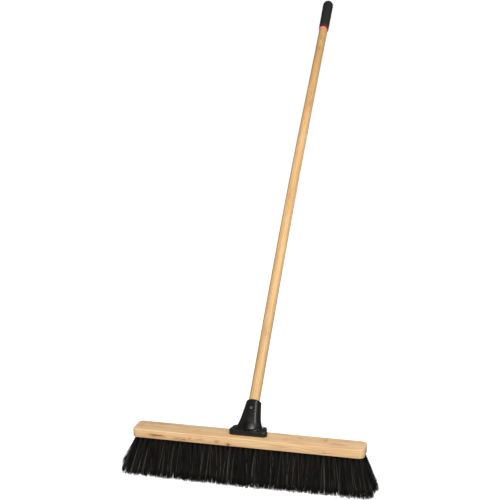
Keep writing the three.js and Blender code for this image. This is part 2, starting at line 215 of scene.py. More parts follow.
# ------------------------------------------------------------------ shader helpers
class Shader:
    """A node tree, with short calls for the nodes used here."""

    def __init__(self, owner, surface="Principled BSDF", coords="Object"):
        owner.use_nodes = True
        self.owner = owner
        self.tree = owner.node_tree
        self.surface = self.tree.nodes[surface]
        self.coords = self.node("ShaderNodeTexCoord").outputs[coords]

    def put(self, socket, value):
        if isinstance(value, bpy.types.NodeSocket):
            self.tree.links.new(value, socket)
        else:
            socket.default_value = value

    def set(self, name, value):
        """Give an input of the surface a value or a link."""
        self.put(self.surface.inputs[name], value)

    def node(self, kind, inputs=None, **settings):
        node = self.tree.nodes.new(kind)
        for name, value in settings.items():
            setattr(node, name, value)
        for key, value in (inputs or {}).items():
            self.put(node.inputs[key], value)
        return node

    def mapping(self, scale=(1, 1, 1), location=(0, 0, 0)):
        inputs = {"Vector": self.coords, "Scale": scale, "Location": location}
        return self.node("ShaderNodeMapping", inputs).outputs[0]

    def noise(self, scale, detail, roughness, location=(0, 0, 0), distortion=0.0):
        return self.node("ShaderNodeTexNoise", {
            "Vector": self.mapping(scale, location), "Scale": 1.0, "Detail": detail,
            "Roughness": roughness, "Distortion": distortion,
        }).outputs["Fac"]

    def ramp(self, fac, stops, interpolation="LINEAR"):
        node = self.node("ShaderNodeValToRGB", {"Fac": fac})
        node.color_ramp.interpolation = interpolation
        elements = node.color_ramp.elements
        while len(elements) < len(stops):
            elements.new(0.5)
        for element, (position, colour) in zip(elements, stops):
            element.position = position
            element.color = (*colour, 1)
        return node.outputs["Color"]

    def step(self, value, start, end):
        """0 at start, easing to 1 at end."""
        inputs = {"Value": value, "From Min": start, "From Max": end}
        node = self.node("ShaderNodeMapRange", inputs, interpolation_type="SMOOTHSTEP")
        return node.outputs["Result"]

    def math(self, operation, *values):
        return self.node("ShaderNodeMath", dict(enumerate(values)), operation=operation).outputs[0]

    def mix(self, factor, a, b, mode="MIX"):
        inputs = {"Factor": factor, 6: a, 7: b}
        return self.node("ShaderNodeMix", inputs, data_type="RGBA", blend_type=mode).outputs[2]

    def layer(self, base, over, mask, amount, mode="MIX"):
        """Lay a colour over base where mask is high."""
        return self.mix(self.math("MULTIPLY", mask, amount), base, over, mode)

    def roughness(self, value, low, spread):
        self.set("Roughness", self.math("MULTIPLY_ADD", value, spread, low))

    def bump(self, height, strength, distance):
        inputs = {"Height": height, "Strength": strength, "Distance": distance}
        self.set("Normal", self.node("ShaderNodeBump", inputs).outputs[0])

    def xyz(self):
        return self.node("ShaderNodeSeparateXYZ", {0: self.coords}).outputs

    def blob(self, centre, radii):
        """0 at the centre of an ellipsoid, 1 on its surface."""
        location = tuple(-c / r for c, r in zip(centre, radii))
        inputs = {0: self.mapping(tuple(1 / r for r in radii), location)}
        return self.node("ShaderNodeVectorMath", inputs, operation="LENGTH").outputs["Value"]

    def camera_ray(self):
        return self.node("ShaderNodeLightPath").outputs["Is Camera Ray"]


def new_shader(name):
    return Shader(bpy.data.materials.new(name))


def srgb(*levels):
    """Linear colour from sRGB levels of 0 to 255, all above the curve's straight foot."""
    return (*(((level / 255 + 0.055) / 1.055) ** 2.4 for level in levels), 1.0)


# ------------------------------------------------------------------ materials
def wood(name, pale, tan, brown, along, rings_at, ring_scale, coat, seed,
         knots=(), figures=(), painted_light_tones=()):
    """Lacquered wood with its fibres along one local axis.

    knots and figures are dark marks: (centre, radii, amount).
    tones multiply the colour along an axis, as painted shade and painted glare: (axis, start, end,
    colour, amount).
    """
    m = new_shader(name)

    def fibres(lengthwise, across, detail, roughness=0.5, shift=0.0, distortion=0.0):
        scale = tuple(lengthwise if axis == along else across for axis in "XYZ")
        location = (seed + shift, seed * 1.7 - shift, seed * 0.6)
        return m.noise(scale, detail, roughness, location, distortion)

    wave = m.node("ShaderNodeTexWave", {
        "Vector": m.mapping(location=rings_at), "Scale": ring_scale, "Distortion": 7.0,
        "Detail": 2.0, "Detail Scale": 0.35, "Detail Roughness": 0.45,
    }, wave_type="RINGS", rings_direction=along, wave_profile="SIN")
    rings = m.step(wave.outputs["Fac"], start=0.40, end=1.0)
    broad = fibres(5.0, 55.0, detail=3)
    streak = fibres(14.0, 420.0, detail=5, roughness=0.62, shift=2.0)
    pores = m.step(fibres(60.0, 2600.0, detail=2, shift=9.0), start=0.60, end=0.74)

    # grain
    colour = m.mix(m.step(broad, start=0.30, end=0.72), pale, tan)
    colour = m.layer(colour, brown, rings, amount=0.22)
    colour = m.layer(colour, brown, m.step(streak, start=0.50, end=0.74), amount=0.46)
    colour = m.layer(colour, pale, m.step(streak, start=0.48, end=0.25), amount=0.34)
    pore_colour = (*(c * 0.42 for c in brown[:3]), 1)
    colour = m.layer(colour, pore_colour, pores, amount=0.30)

    # streaky dark figures
    figure_colour = (brown[0] * 0.72, brown[1] * 0.50, brown[2] * 0.30, 1)
    for centre, radii, amount in figures:
        inside = m.step(m.blob(centre, radii), start=1.0, end=0.15)
        grain = fibres(38.0, 300.0, detail=4, roughness=0.6, shift=centre[0] * 40, distortion=0.6)
        mask = m.math("MULTIPLY", inside, m.step(grain, start=0.40, end=0.58))
        colour = m.layer(colour, figure_colour, mask, amount)

    position = m.xyz()
    # painted shade and painted glare, multiplied in along an axis
    for axis, start, end, tone, amount in painted_light_tones:
        colour = m.layer(colour, tone, m.step(position[axis], start, end), amount, "MULTIPLY")

    # knots: a brown halo round a dark core
    core = (brown[0] * 0.30, brown[1] * 0.20, brown[2] * 0.12, 1)
    for centre, radii, amount in knots:
        blob = m.blob(centre, radii)
        colour = m.layer(colour, brown, m.step(blob, start=2.4, end=0.9), 0.5 * amount)
        colour = m.layer(colour, core, m.step(blob, start=1.05, end=0.45), 0.85 * amount)

    m.set("Base Color", colour)
    m.roughness(streak, low=0.35, spread=0.22)
    m.set("Coat Weight", coat)
    m.set("Coat Roughness", 0.18)
    ridges, hollows = m.math("MULTIPLY", streak, 0.5), m.math("MULTIPLY", pores, 0.6)
    m.bump(m.math("SUBTRACT", ridges, hollows), strength=0.35, distance=0.00012)
    return m.owner


def plastic(name, colour, lift, rough_low, grain, bump, shine, dull=None):
    """Moulded plastic or rubber: fine grain and soft clouds of the colour `lift`.

    dull is a region with less shine: (centre, radii, amount).
    """
    m = new_shader(name)
    cloud = m.noise((22, 22, 22), detail=4, roughness=0.6)
    fine = m.noise((grain, grain, grain), detail=3, roughness=0.6)
    m.set("Base Color", m.layer(colour, lift, m.step(cloud, start=0.35, end=0.7), amount=0.6))
    m.roughness(cloud, low=rough_low, spread=0.2)
    m.set("Coat Roughness", 0.2)
    m.set("Specular IOR Level", shine)
    if dull:
        centre, radii, amount = dull
        outside = m.step(m.blob(centre, radii), start=0.45, end=1.0)
        keep = m.math("ADD", m.math("MULTIPLY", outside, amount), 1 - amount)
        m.set("Specular IOR Level", m.math("MULTIPLY", keep, shine))
    m.bump(fine, strength=bump, distance=0.00008)
    return m.owner


def red_band(name):
    """Dark red moulded band, with a painted highlight on the lip at its foot and painted shade towards
    its top.
    """
    m = new_shader(name)
    position = m.xyz()
    # the ramp runs over the first centimetre above the foot: a painted highlight at the foot, then
    # painted shade deepening the red towards the grip
    height = m.math("MULTIPLY", m.math("SUBTRACT", position["Z"], RING_FOOT), 100.0)
    colour = m.ramp(height, [
        (0.0, (0.95, 0.44, 0.33)),
        (0.10, (0.93, 0.40, 0.30)),
        (0.22, (0.42, 0.070, 0.052)),
        (0.45, (0.20, 0.020, 0.026)),
        (1.0, (0.085, 0.012, 0.019)),
    ])
    cloud = m.noise((260, 260, 260), detail=3, roughness=0.6)
    mottled, side = (0.24, 0.02, 0.02, 1), (0.13, 0.022, 0.020, 1)
    colour = m.layer(colour, mottled, m.step(cloud, start=0.4, end=0.7), amount=0.12)
    # painted shade: a darker red laid over the +X side
    right = m.step(position["X"], start=0.0055, end=0.0115)
    m.set("Base Color", m.layer(colour, side, right, amount=0.80))
    m.roughness(cloud, low=0.34, spread=0.2)
    m.set("Specular IOR Level", 0.25)
    m.bump(cloud, strength=0.05, distance=0.00008)
    return m.owner


def metal(name, colour, rough_low):
    """Brushed metal with darker spots."""
    m = new_shader(name)
    brushed = m.noise((300, 300, 2400), detail=3, roughness=0.6)
    spots = m.noise((500, 500, 500), detail=4, roughness=0.6)
    darker = (*(c * 0.62 for c in colour[:3]), 1)
    m.set("Base Color", m.layer(colour, darker, m.step(spots, start=0.45, end=0.75), amount=0.5))
    m.set("Metallic", 1.0)
    m.roughness(brushed, low=rough_low, spread=0.25)
    m.bump(brushed, strength=0.15, distance=0.00005)
    return m.owner


def filament(name):
    """Black filaments: each its own shade, with painted shade at the root under the block, painted
    glints on a few pale ones, and greyer where they were cut.
    """
    m = new_shader(name)
    shade = m.node("ShaderNodeAttribute", attribute_name="shade").outputs["Fac"]
    run = m.node("ShaderNodeAttribute", attribute_name="run").outputs["Fac"]
    colour = m.ramp(shade, [
        (0.0, (0.0013, 0.0011, 0.0008)),
        (0.6, (0.0044, 0.0038, 0.0028)),
        (0.85, (0.021, 0.0185, 0.0140)),
        # painted highlight: the pale end of the ramp, for the few filaments that stand in for glints
        (1.0, (0.196, 0.178, 0.146)),
    ])
    painted_root_shade, lower, tip = (0.0024, 0.0021, 0.0016, 1), (0.030, 0.028, 0.024, 1), (0.12, 0.112, 0.098, 1)
    # painted shade: the filaments darkened at the root, in the block's shadow
    colour = m.layer(colour, painted_root_shade, m.step(run, start=0.50, end=0.02), amount=0.72)
    colour = m.layer(colour, lower, m.step(run, start=0.55, end=1.0), amount=0.32)
    m.set("Base Color", m.layer(colour, tip, m.step(run, start=0.95, end=1.0), amount=0.60))
    fine = m.noise((1800, 1800, 90), detail=2, roughness=0.5)
    m.roughness(fine, low=0.40, spread=0.25)
    m.set("Specular IOR Level", 0.25)
    m.bump(fine, strength=0.2, distance=0.00004)
    return m.owner


block_mat = wood(
    "block_wood", pale=srgb(240, 207, 160), tan=srgb(226, 184, 133), brown=srgb(186, 130, 80),
    along="X", rings_at=(0.31, 0.020, 0.045), ring_scale=42.0, coat=0.12, seed=3.1,
    knots=[
        ((-0.045, -HALF_Y, BOTTOM + 0.0048), (0.0052, 0.004, 0.0032), 1.0),
        ((0.200, 0.012, TOP), (0.0040, 0.0070, 0.003), 0.45),
        ((-0.076, -HALF_Y, BOTTOM + 0.0075), (0.0044, 0.004, 0.0024), 0.4),
        ((-0.147, -HALF_Y, BOTTOM + 0.0115), (0.0034, 0.004, 0.0020), 0.4),
    ],
    figures=[
        ((-0.236, -HALF_Y, BOTTOM + 0.0105), (0.038, 0.012, 0.0080), 1.0),
        ((-0.168, -HALF_Y, BOTTOM + 0.0065), (0.034, 0.010, 0.0058), 1.0),
        ((-0.232, 0.020, TOP), (0.024, 0.011, 0.01), 0.75),
        ((-0.290, 0.004, TOP), (0.014, 0.020, 0.01), 0.5),
        ((-0.120, -HALF_Y, BOTTOM + 0.010), (0.020, 0.01, 0.005), 0.5),
        ((-0.075, -HALF_Y, BOTTOM + 0.011), (0.014, 0.01, 0.005), 0.6),
        ((0.135, 0.012, TOP), (0.014, 0.007, 0.006), 0.6),
        ((0.085, -HALF_Y, BOTTOM + 0.012), (0.036, 0.01, 0.006), 0.45),
        ((0.200, -HALF_Y, BOTTOM + 0.008), (0.050, 0.01, 0.005), 0.4),
        ((0.235, -0.01, TOP), (0.040, 0.012, 0.01), 0.35),
    ],
    # painted shade: the block darkened towards its underside, where the bristles shade it
    painted_light_tones=[("Z", BOTTOM + 0.015, BOTTOM + 0.003, (0.86, 0.82, 0.76, 1), 0.75)],
)
handle_mat = wood(
    "handle_wood", pale=srgb(234, 193, 137), tan=srgb(219, 173, 113), brown=srgb(172, 120, 66),
    along="Z", rings_at=(0.006, 0.012, 0.2), ring_scale=60.0, coat=0.10, seed=8.4,
    figures=[
        ((0.0, -0.014, 0.30), (0.012, 0.01, 0.05), 0.4),
        ((0.004, -0.014, 1.12), (0.012, 0.01, 0.08), 0.4),
        ((-0.004, -0.014, 0.74), (0.010, 0.01, 0.09), 0.3),
        ((0, -0.014, 1.36), (0.014, 0.014, 0.09), 0.5),
    ],
    painted_light_tones=[
        # painted shade: the lower handle darkened towards the socket
        ("Z", 0.62, 0.16, (0.87, 0.87, 0.85, 1), 1.0),
        # painted shade, with a warmer tone, darkening the handle towards its top
        ("Z", 1.12, 1.34, (0.87, 0.86, 0.78, 1), 1.0),
        # painted glare: a red tint on the wood just below the ring
        ("Z", 1.398, 1.422, (1.0, 0.72, 0.66, 1), 0.8),
    ],
)
bracket_mat = plastic(
    "bracket_plastic", colour=(0.0062, 0.0054, 0.0044, 1), lift=(0.0108, 0.0094, 0.0076, 1),
    rough_low=0.15, grain=1100.0, bump=0.08, shine=0.36,
    dull=((-0.003, -0.004, 0.144), (0.017, 0.020, 0.019), 0.72),
)
grip_mat = plastic(
    "grip_rubber", colour=(0.0095, 0.0100, 0.0084, 1), lift=(0.015, 0.0155, 0.0135, 1),
    rough_low=0.45, grain=1500.0, bump=0.25, shine=0.4,
)
ring_mat = red_band("ring_red")
screw_mat = metal("screw_steel", (0.12, 0.116, 0.110, 1), rough_low=0.36)
dark_screw_mat = metal("dark_screw_steel", (0.045, 0.043, 0.040, 1), rough_low=0.32)
staple_mat = metal("staple_wire", (0.62, 0.60, 0.56, 1), rough_low=0.3)
bristle_mat = filament("bristle")


def finish_piece(obj, material, body, slot, *nodes):
    """Give a piece its material, the body it rides on and the nodes it replaces. The slot is not used.
    """
    obj.data.materials.clear()
    obj.data.materials.append(material)
    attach(obj, body)
    if nodes:
        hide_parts(*nodes)


# ------------------------------------------------------------------ brush block
CORNER_RIGHT, CORNER_LEFT = 0.0155, 0.0125
CORNER_MIN = 0.004
EDGE_BOTTOM, EDGE_TOP = 0.0020, 0.0022
HOLE_RADIUS, HOLE_DEPTH = 0.00305, 0.014
MOUTH_RADIUS = HOLE_RADIUS + 0.0006
PILOT_RADIUS, PILOT_DEPTH = 0.0023, 0.0126


def block_ring(z, inset):
    """The block's outline at height z, drawn in by inset."""
    x, y = HALF_X - inset, HALF_Y - inset
    right = max(CORNER_RIGHT - inset, CORNER_MIN)
    left = max(CORNER_LEFT - inset, CORNER_MIN)
    corners = [
        (x - right, -y + right, -90, right), (x - right, y - right, 0, right),
        (-x + left, y - left, 90, left), (-x + left, -y + left, 180, left),
    ]

    def on_corner(k, degrees):
        cx, cy, start, radius = corners[k % 4]
        a = math.radians(start + degrees)
        return (cx + radius * math.cos(a), cy + radius * math.sin(a), z)

    points = []
    for k in range(4):
        points += [on_corner(k, 90 * i / 14) for i in range(15)]
        side_start, side_end = Vector(on_corner(k, 90)), Vector(on_corner(k + 1, 0))
        steps = 40 if k in (1, 3) else 6
        points += [tuple(side_start.lerp(side_end, i / steps)) for i in range(1, steps)]
    return points


def block_rings():
    rings = []
    for degrees in range(0, 91, 18):
        c, s = math.cos(math.radians(degrees)), math.sin(math.radians(degrees))
        rings.append(block_ring(BOTTOM + EDGE_BOTTOM * (1 - c), EDGE_BOTTOM * (1 - s)))
    side = TOP - EDGE_TOP - BOTTOM - EDGE_BOTTOM
    rings += [block_ring(BOTTOM + EDGE_BOTTOM + side * k / 4, 0) for k in (1, 2, 3)]
    for degrees in range(0, 91, 15):
        c, s = math.cos(math.radians(degrees)), math.sin(math.radians(degrees))
        rings.append(block_ring(TOP - EDGE_TOP + EDGE_TOP * s, EDGE_TOP * (1 - c)))
    return rings


def block_holes():
    """Tuft holes in the underside, with flared mouths, and two pilot holes in the top."""
    levels = [  # radius, z
        (MOUTH_RADIUS, BOTTOM - 0.001),
        (MOUTH_RADIUS, BOTTOM - 0.0001),
        (HOLE_RADIUS, BOTTOM + 0.0005),
        (HOLE_RADIUS, BOTTOM + HOLE_DEPTH - 0.0012),
        (HOLE_RADIUS * 0.55, BOTTOM + HOLE_DEPTH),
    ]
    skins = [
        loft([circle(radius, z, 20, (x, row_y(row))) for radius, z in levels])
        for row in range(ROWS) for x in row_tufts(row)
    ]
    for side in (-1, 1):
        at = (side * PLATE_SCREW_X, PLATE_SCREW_Y)
        skins.append(loft([circle(PILOT_RADIUS, z, 20, at) for z in (TOP - PILOT_DEPTH, TOP + 0.002)]))
    return new_object("holes", *joined(skins))


block = new_object("brush_block_body", *loft(block_rings()))
cut(block, [block_holes()])
soften(block, 30)
finish_piece(block, block_mat, "head", "block_wood", "brush_block")

# ------------------------------------------------------------------ bristles
PER_TUFT = 100
LOCKS = 5
PACK_RADIUS = 0.00262
FILAMENT_RADIUS = 0.00044
SIDES = 3
# places along a filament: 0 at the block's underside, 1 at the cut end
STATIONS = np.array([-0.11, 0.0, 0.14, 0.33, 0.55, 0.78, 1.0])

# how far the last tuft of each row leans outwards at its cut end; none up to FLARE_FROM
FLARE_LEFT = [0.0222, 0.0385, 0.0395, 0.0390, 0.0245]
FLARE_RIGHT = [0.0320, 0.0372, 0.0380, 0.0380, 0.0240]
FLARE_FROM = 0.150

# standard deviations at the cut end, in x and y
TUFT_DRIFT = (0.0010, 0.0012)
LOCK_DRIFT = (0.0012, 0.0013)
FILAMENT_DRIFT = (0.0026, 0.0014)
# standard deviations of how high a lock and a filament end, and of a filament's bow
LOCK_LIFT, FILAMENT_LIFT, BOW = 0.0006, 0.0004, 0.0015
SPREAD_Y = 0.0130


def filament_verts(row):
    """Vertices of a row's filaments: filament, station, side, xyz."""
    tufts = row_tufts(row)
    tuft_count = len(tufts)
    n = tuft_count * PER_TUFT

    def each(per_tuft):
        return np.repeat(per_tuft, PER_TUFT)

    tuft_x = each(tufts)
    away = np.abs(tuft_x)
    left = tuft_x < 0
    flared_length = tufts[-1] + 0.003 - FLARE_FROM
    end_flare = np.where(left, FLARE_LEFT[row], FLARE_RIGHT[row])
    outward = np.clip(away - FLARE_FROM, 0, None) / flared_length
    flare = np.sign(tuft_x) * end_flare * outward ** 1.5
    spread_x = TUFT_PITCH / 2 * (1 + 1.5 * end_flare / flared_length * np.sqrt(outward))

    # packed in the hole in sunflower order, each tuft turned at random
    index = np.tile(np.arange(PER_TUFT), tuft_count)
    pack = PACK_RADIUS * np.sqrt((index + 0.5) / PER_TUFT)
    angle = index * 2.399963 + each(rng.uniform(0, 6.28, tuft_count))
    pack_x, pack_y = pack * np.cos(angle), pack * np.sin(angle)
    tuft_dx, tuft_dy = (each(rng.normal(0, drift, tuft_count)) for drift in TUFT_DRIFT)
    tuft_width = each(rng.uniform(1.25, 1.80, tuft_count))

    # each tuft falls apart into a few locks, which lean and end a little differently
    lock = each(np.arange(tuft_count) * LOCKS) + (angle / TURN * LOCKS).astype(int) % LOCKS
    lock_count = tuft_count * LOCKS
    lock_dx, lock_dy = (rng.normal(0, drift, lock_count)[lock] for drift in LOCK_DRIFT)
    lock_lift = np.abs(rng.normal(0, LOCK_LIFT, lock_count))[lock]

    # a few strays; the outermost tufts hold together more
    wild = np.where(rng.random(n) < 0.06, 2.2, 1.0)
    outermost = np.clip((away - 0.25) / 0.04, 0, 1)
    splay_x = pack_x / PACK_RADIUS * spread_x * tuft_width + tuft_dx + lock_dx
    splay_x = splay_x * (1 - 0.20 * outermost)
    splay_x += rng.normal(0, FILAMENT_DRIFT[0], n) * wild * (1 - 0.4 * outermost)
    splay_y = pack_y / PACK_RADIUS * SPREAD_Y + tuft_dy + lock_dy
    splay_y += rng.normal(0, FILAMENT_DRIFT[1], n) * wild
    lean_y = np.full(n, row_y(row) * 0.98)
    if row in (0, ROWS - 1):
        bulge = np.cos(np.clip(tuft_x / 0.32, -1, 1) * math.pi / 2)
        lean_y += math.copysign(0.0040, row_y(row)) * bulge

    # height of the cut end: flared, ragged, and lifted at the ends of the row
    rise = 0.12 * BOTTOM * (1 - np.cos(np.arctan(flare / BOTTOM)))
    crown = 0.0004 * (pack_x / PACK_RADIUS) ** 2
    ragged = crown + lock_lift + np.abs(rng.normal(0, FILAMENT_LIFT, n))
    ragged += np.where(rng.random(n) < 0.12, rng.uniform(0, 0.006, n), 0)
    reach = np.abs(tuft_x + flare + splay_x)
    limit = np.where(left, np.quantile(reach[left], 0.999), np.quantile(reach[tuft_x > 0], 0.999))
    near_end = np.clip((reach - limit + 0.010) / 0.010, 0, 1.2)
    tip_z = rise + 0.0002 + ragged + np.where(left, 0.009, 0.002) * near_end ** 1.4

    bow_angle = rng.uniform(0, TURN, n)
    bow = np.abs(rng.normal(0, BOW, n)) * wild
    rng.uniform(0.35, 0.65, n)  # not used, but keeps the later draws in their places
    radius = FILAMENT_RADIUS * rng.uniform(0.88, 1.12, n)
    twist = rng.uniform(0, TURN, n)

    # the tuft leans in a straight line, while its filaments splay soon after they leave the hole
    t = STATIONS[:, None]
    lean = np.maximum(t, 0)
    splay = lean ** (0.62 + 0.24 * outermost)
    bowed = bow * np.sin(math.pi * lean)
    x = tuft_x + pack_x + flare * lean + (splay_x - pack_x) * splay + bowed * np.cos(bow_angle)
    y = row_y(row) + pack_y + lean_y * lean + (splay_y - pack_y) * splay
    y -= row_y(row) * 0
    y += bowed * np.sin(bow_angle)
    z = BOTTOM - np.where(t > 0, BOTTOM - tip_z, BOTTOM) * t
    centres = np.stack([x, y, z], -1).transpose(1, 0, 2)

    side_angle = twist[:, None] + TURN * np.arange(SIDES) / SIDES
    outwards = np.stack([np.cos(side_angle), np.sin(side_angle), np.zeros((n, SIDES))], -1)
    radii = radius[:, None] * np.where(STATIONS < 0.9, 1.0, 0.92)
    return centres[:, :, None] + radii[:, :, None, None] * outwards[:, None]


def filament_mesh(name, verts):
    """Closed three-sided tubes, each with its own small cell of the UV square."""
    n = len(verts)
    levels = len(STATIONS)
    per_filament = levels * SIDES
    run = (STATIONS - STATIONS[0]) / (STATIONS[-1] - STATIONS[0])
    corners, uv = [], []
    for k in range(levels - 1):
        for s in range(SIDES):
            low, high, after = k * SIDES, (k + 1) * SIDES, (s + 1) % SIDES
            corners += [low + s, high + s, high + after, low + after]
            u, next_u = s / SIDES, (s + 1) / SIDES
            uv += [(u, run[k]), (u, run[k + 1]), (next_u, run[k + 1]), (next_u, run[k])]
    corners += [0, 1, 2, per_filament - 1, per_filament - 2, per_filament - 3]
    uv += [(0, 0), (0.3, 0), (0, 0.02), (0, 1), (0.3, 1), (0, 0.98)]
    quads, caps = (levels - 1) * SIDES, 2

    loops = ((np.arange(n) * per_filament)[:, None] + np.array(corners)).ravel()
    sizes = np.tile(np.array([4] * quads + [3] * caps), n)
    starts = np.concatenate([[0], np.cumsum(sizes)[:-1]])
    mesh = bpy.data.meshes.new(name)
    mesh.vertices.add(n * per_filament)
    mesh.vertices.foreach_set("co", verts.reshape(-1).astype(np.float32))
    mesh.loops.add(len(loops))
    mesh.loops.foreach_set("vertex_index", loops.astype(np.int32))
    mesh.polygons.add(len(sizes))
    mesh.polygons.foreach_set("loop_start", starts.astype(np.int32))
    mesh.polygons.foreach_set("use_smooth", np.tile(np.array([True] * quads + [False] * caps), n))
    mesh.update(calc_edges=True)

    grid = math.ceil(math.sqrt(n))
    cell = np.stack([np.arange(n) % grid, np.arange(n) // grid], 1)
    inside_cell = np.array(uv) * 0.84 + 0.08
    cell_uv = (cell[:, None, :] + inside_cell[None]) / grid
    layer = mesh.uv_layers.new(name="OFBake")
    layer.data.foreach_set("uv", cell_uv.reshape(-1).astype(np.float32))
    return mesh


def add_attribute(mesh, name, values):
    attribute = mesh.attributes.new(name, "FLOAT", "POINT")
    attribute.data.foreach_set("value", values.astype(np.float32))


def bristle_row(row):
    name = f"bristles_row{row + 1}"
    verts = filament_verts(row)
    n = len(verts)
    mesh = filament_mesh(name, verts)

    # mostly dark, a little different from tuft to tuft, with a few filaments set pale as painted
    # glints
    tuft_shade = np.repeat(rng.normal(0, 0.08, n // PER_TUFT), PER_TUFT) if False else None
    shade = rng.beta(1.6, 2.6, n)
    shade += np.repeat(rng.normal(0, 0.08, n // PER_TUFT), PER_TUFT)
    shade = np.clip(shade, 0, 0.9)
    shade = np.where(rng.random(n) < 0.055, rng.uniform(0.86, 1.0, n), shade)
    add_attribute(mesh, "shade", np.repeat(shade, len(STATIONS) * SIDES))
    add_attribute(mesh, "run", np.tile(np.repeat(np.clip(STATIONS, 0, 1), SIDES), n))

    obj = bpy.data.objects.new(name, mesh)
    bpy.context.scene.collection.objects.link(obj)
    mesh.materials.append(bristle_mat)
    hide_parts(*[f"tufts_row{row + 1}_{part}" for part in ("left", "middle", "right")])
    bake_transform(obj)


for row in range(ROWS):
    bristle_row(row)


# ------------------------------------------------------------------ tuft staples
def staple(at_x, at_y):
    """A flat wire across a tuft hole, turned by half a radian, with bevelled ends."""
    half_length, half_width, turn = 0.0024, 0.0003, 0.5
    low, high, bevel = BOTTOM + 0.0112, BOTTOM + 0.0124, 0.0002
    c, s = math.cos(turn), math.sin(turn)
    outline = [(a * half_length, b * half_width) for a, b in ((-1, -1), (1, -1), (1, 1), (-1, 1))]
    levels = ((low, 0.92), (low + bevel, 1.0), (high - bevel, 1.0), (high, 0.92))
    return loft([
        [(at_x + (x * c - y * s) * scale, at_y + (x * s + y * c) * scale, z) for x, y in outline]
        for z, scale in levels
    ])


staples = new_object("tuft_staples", *joined(
    staple(x, row_y(row)) for row in range(ROWS) for x in row_tufts(row)
))
finish_piece(staples, staple_mat, "head", "screw_steel")

# ------------------------------------------------------------------ handle bracket
RING_POINTS = 128
PLATE_FRONT, PLATE_BACK = -0.010, 0.031
PLATE_MID_Y = (PLATE_FRONT + PLATE_BACK) / 2
PLATE_HALF_FRONT, PLATE_HALF_BACK = 0.0502, 0.0465
PLATE_CORNER = 0.0095
PLATE_EDGE = 0.0034
SIDE_SLOPE = 4.9  # degrees by which the plate's sides draw in towards the back
# height above the plate's foot, inset
PLATE_SIDE = [
    (0.0, 0.0007), (0.0002, 0.0003), (0.0007, 0.0), (0.004, 0.0), (0.0075, 0.0),
    (PLATE_HEIGHT - PLATE_EDGE, 0.0),
]


def plate_ring(z, inset):
    """The plate's outline, met by rays set out by the ellipse angle of the tower's rings."""
    front, back = PLATE_FRONT + inset, PLATE_BACK - inset
    corner = max(PLATE_CORNER - inset, 0.0035)
    corners = [  # centre x, y, first and last angle
        (PLATE_HALF_FRONT - inset - corner, front + corner, -90, SIDE_SLOPE),
        (PLATE_HALF_BACK - inset - corner - 0.0012, back - corner, SIDE_SLOPE, 90),
    ]
    half = []
    for cx, cy, first, last in corners:
        for i in range(17):
            a = math.radians(first + (last - first) * i / 16)
            half.append((cx + corner * math.cos(a), cy + corner * math.sin(a)))
    points = np.array(half + [(-x, y) for x, y in reversed(half)])
    parts = np.linspace(0, 1, 30, endpoint=False)[None, :, None]
    ahead = np.roll(points, -1, 0)
    dense = (points[:, None] + (ahead - points)[:, None] * parts).reshape(-1, 2)
    dense -= (0, PLATE_MID_Y)
    angles = np.arctan2(dense[:, 1], dense[:, 0])
    distances = np.hypot(dense[:, 0], dense[:, 1])
    e = np.arange(RING_POINTS) / RING_POINTS * TURN
    ray = np.arctan2(0.0195 * np.sin(e), 0.033 * np.cos(e))
    reach = np.interp(ray, angles, distances, period=TURN)
    x, y = reach * np.cos(ray), PLATE_MID_Y + reach * np.sin(ray)
    return np.stack([x, y, np.full(RING_POINTS, z)], 1)


def socket_section(distance, radius, half_width):
    """A section square to the handle's axis, as a row of TOWER."""
    along, across = distance * math.sqrt(0.5), radius * math.sqrt(0.5)
    mid_y = AXIS_Y / MM + along
    return [mid_y - across, along + across, mid_y + across, along - across, half_width]


# in mm, heights above the plate's foot: front y, front z, back y, back z, half width
TOWER = [
    [-8.6, 19.5, 38.0, 17, 33.1],
    [-6.3, 23.4, 39.6, 18.2, 31.8],
    [-3.0, 28.0, 41.6, 19.8, 30.3],
    [1.6, 33.6, 44.2, 22.1, 28.5],
    [11.8, 44.4, 48.6, 26.2, 26.2],
    socket_section(62, 19.8, 24.1),
    socket_section(78, 19.0, 21.8),
    socket_section(89.5, 18.5, 20.3),
]
# the rounded mouth of the socket, in mm: distance along the axis, radius, half width
MOUTH = [
    (92.0, 18.34, 20.0), (93.3, 18.0, 19.5), (94.2, 17.45, 18.7), (94.8, 16.85, 17.7),
    (95, 16.2, 16.8),
]


def catmull(points, steps):
    """A Catmull-Rom curve through the points."""
    p = np.array(points, float)
    p = np.vstack([2 * p[0] - p[1], p, 2 * p[-1] - p[-2]])
    out = []
    for a, b, c, d in zip(p, p[1:], p[2:], p[3:]):
        for k in range(steps):
            t = k / steps
            square = (2 * a - 5 * b + 4 * c - d) * t**2
            cube = (3 * b - a - 3 * c + d) * t**3
            out.append(0.5 * (2 * b + (c - a) * t + square + cube))
    out.append(p[-2])
    return out


def tower_ring(section):
    front_y, front_z, back_y, back_z, half_width = [v * MM for v in section]
    e = np.arange(RING_POINTS) / RING_POINTS * TURN
    back = (1 + np.sin(e)) / 2
    y = front_y + (back_y - front_y) * back
    z = front_z + (back_z - front_z) * back
    return np.stack([half_width * np.cos(e), y, z], 1)


def bracket_rings():
    """From the plate's foot over its rounded edge, up a hollow curve, and along the socket."""
    rings = [plate_ring(z, inset) for z, inset in PLATE_SIDE]
    for degrees in range(15, 91, 15):
        a = math.radians(degrees)
        z = PLATE_HEIGHT - PLATE_EDGE + PLATE_EDGE * math.sin(a)
        rings.append(plate_ring(z, PLATE_EDGE * (1 - math.cos(a))))
    rim, first = rings[-1], tower_ring(TOWER[0])
    for k in range(1, 12):
        a = math.radians(90 * k / 12)
        rings.append(rim + (first - rim) * np.array([math.sin(a), math.sin(a), 1 - math.cos(a)]))
    rings += [tower_ring(section) for section in catmull(TOWER, 6)]
    rings += [tower_ring(socket_section(*station)) for station in MOUTH]
    return [ring + np.array([0, 0, PLATE_Z]) for ring in rings]


